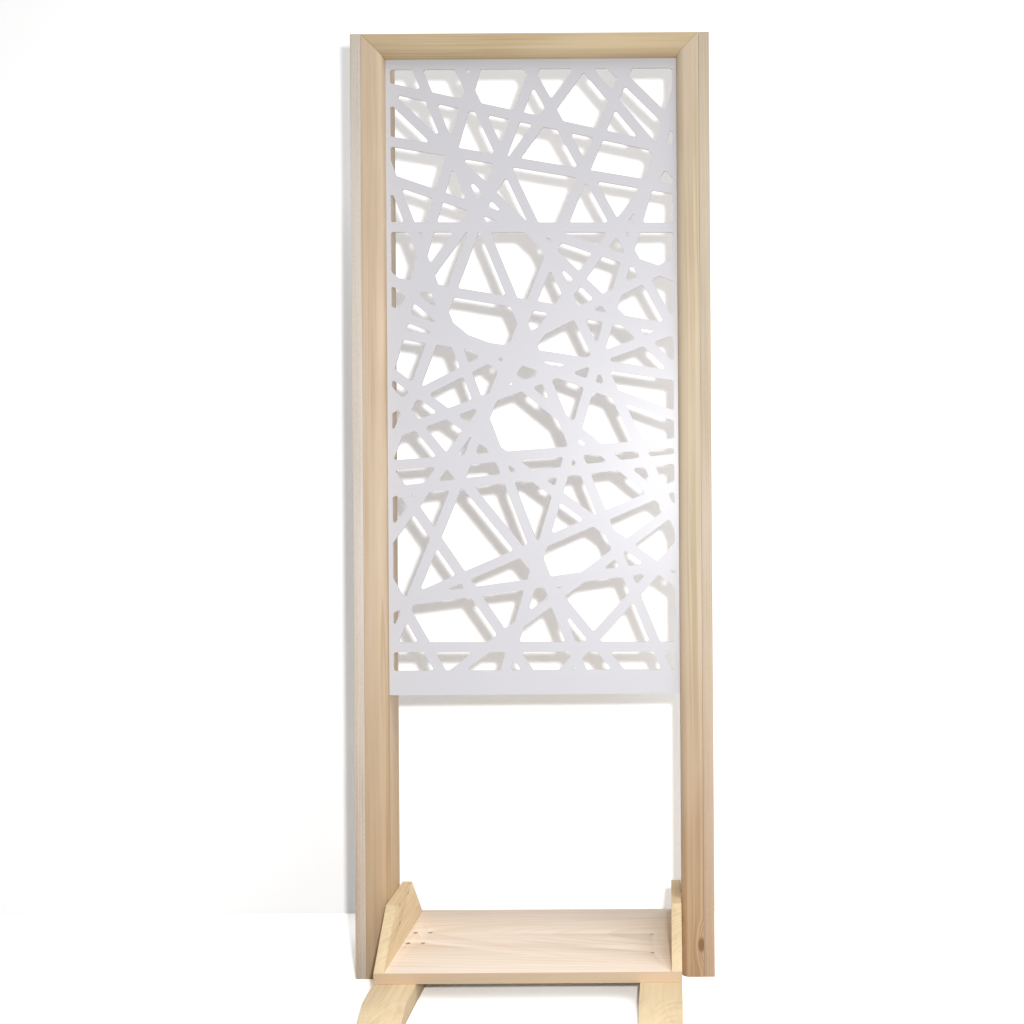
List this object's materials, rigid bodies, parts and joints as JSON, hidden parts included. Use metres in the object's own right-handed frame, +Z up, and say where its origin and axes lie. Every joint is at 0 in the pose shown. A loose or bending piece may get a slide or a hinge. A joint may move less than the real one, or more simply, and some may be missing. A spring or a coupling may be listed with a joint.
{
  "type": "garden privacy screen",
  "caption": "Free-standing pine frame round a white sheet pierced by crossing straight bars, on two flat feet with a low plant shelf between end cheeks.",
  "frame": {"origin": "centre of the overall footprint, on the ground", "axes": "+Z up, +X across the screen to the viewer's right, +Y from the front to the back"},
  "size_m": [0.646, 0.526, 1.7],
  "materials": {
    "side_board_pine": "rough planed pine, slightly greyed",
    "frame_pine": "planed pine, matt",
    "shelf_pine": "planed pine, matt, wavy grain",
    "white_coat": "satin white coat; metal is assumed, plastic would look alike",
    "screw_zinc": "yellow zinc plated, assumed"
  },
  "bodies": {
    "root": {"side_board_left": "side_board_pine", "side_board_right": "side_board_pine", "post_left": "frame_pine", "post_right": "frame_pine", "top_rail": "frame_pine", "trim_left": "frame_pine", "trim_right": "frame_pine", "trim_top": "frame_pine", "privacy_sheet": "white_coat", "plant_shelf": "shelf_pine", "cheek_left": "frame_pine", "cheek_right": "frame_pine", "foot_left": "frame_pine", "foot_right": "frame_pine", "shelf_screw_left_1": "screw_zinc", "shelf_screw_left_2": "screw_zinc", "shelf_screw_left_3": "screw_zinc", "shelf_screw_left_4": "screw_zinc", "shelf_screw_right_1": "screw_zinc", "shelf_screw_right_2": "screw_zinc", "cheek_screw_left_1": "screw_zinc", "cheek_screw_left_2": "screw_zinc", "cheek_screw_left_3": "screw_zinc", "cheek_screw_right_1": "screw_zinc", "cheek_screw_right_2": "screw_zinc", "cheek_screw_right_3": "screw_zinc", "side_screw_left_1": "screw_zinc", "side_screw_left_2": "screw_zinc", "side_screw_left_3": "screw_zinc", "side_screw_left_4": "screw_zinc", "side_screw_left_5": "screw_zinc", "side_screw_right_1": "screw_zinc", "side_screw_right_2": "screw_zinc", "side_screw_right_3": "screw_zinc", "side_screw_right_4": "screw_zinc", "side_screw_right_5": "screw_zinc", "rail_screw_left_1": "screw_zinc", "rail_screw_left_2": "screw_zinc", "rail_screw_right_1": "screw_zinc", "rail_screw_right_2": "screw_zinc"}
  },
  "joints": []
}
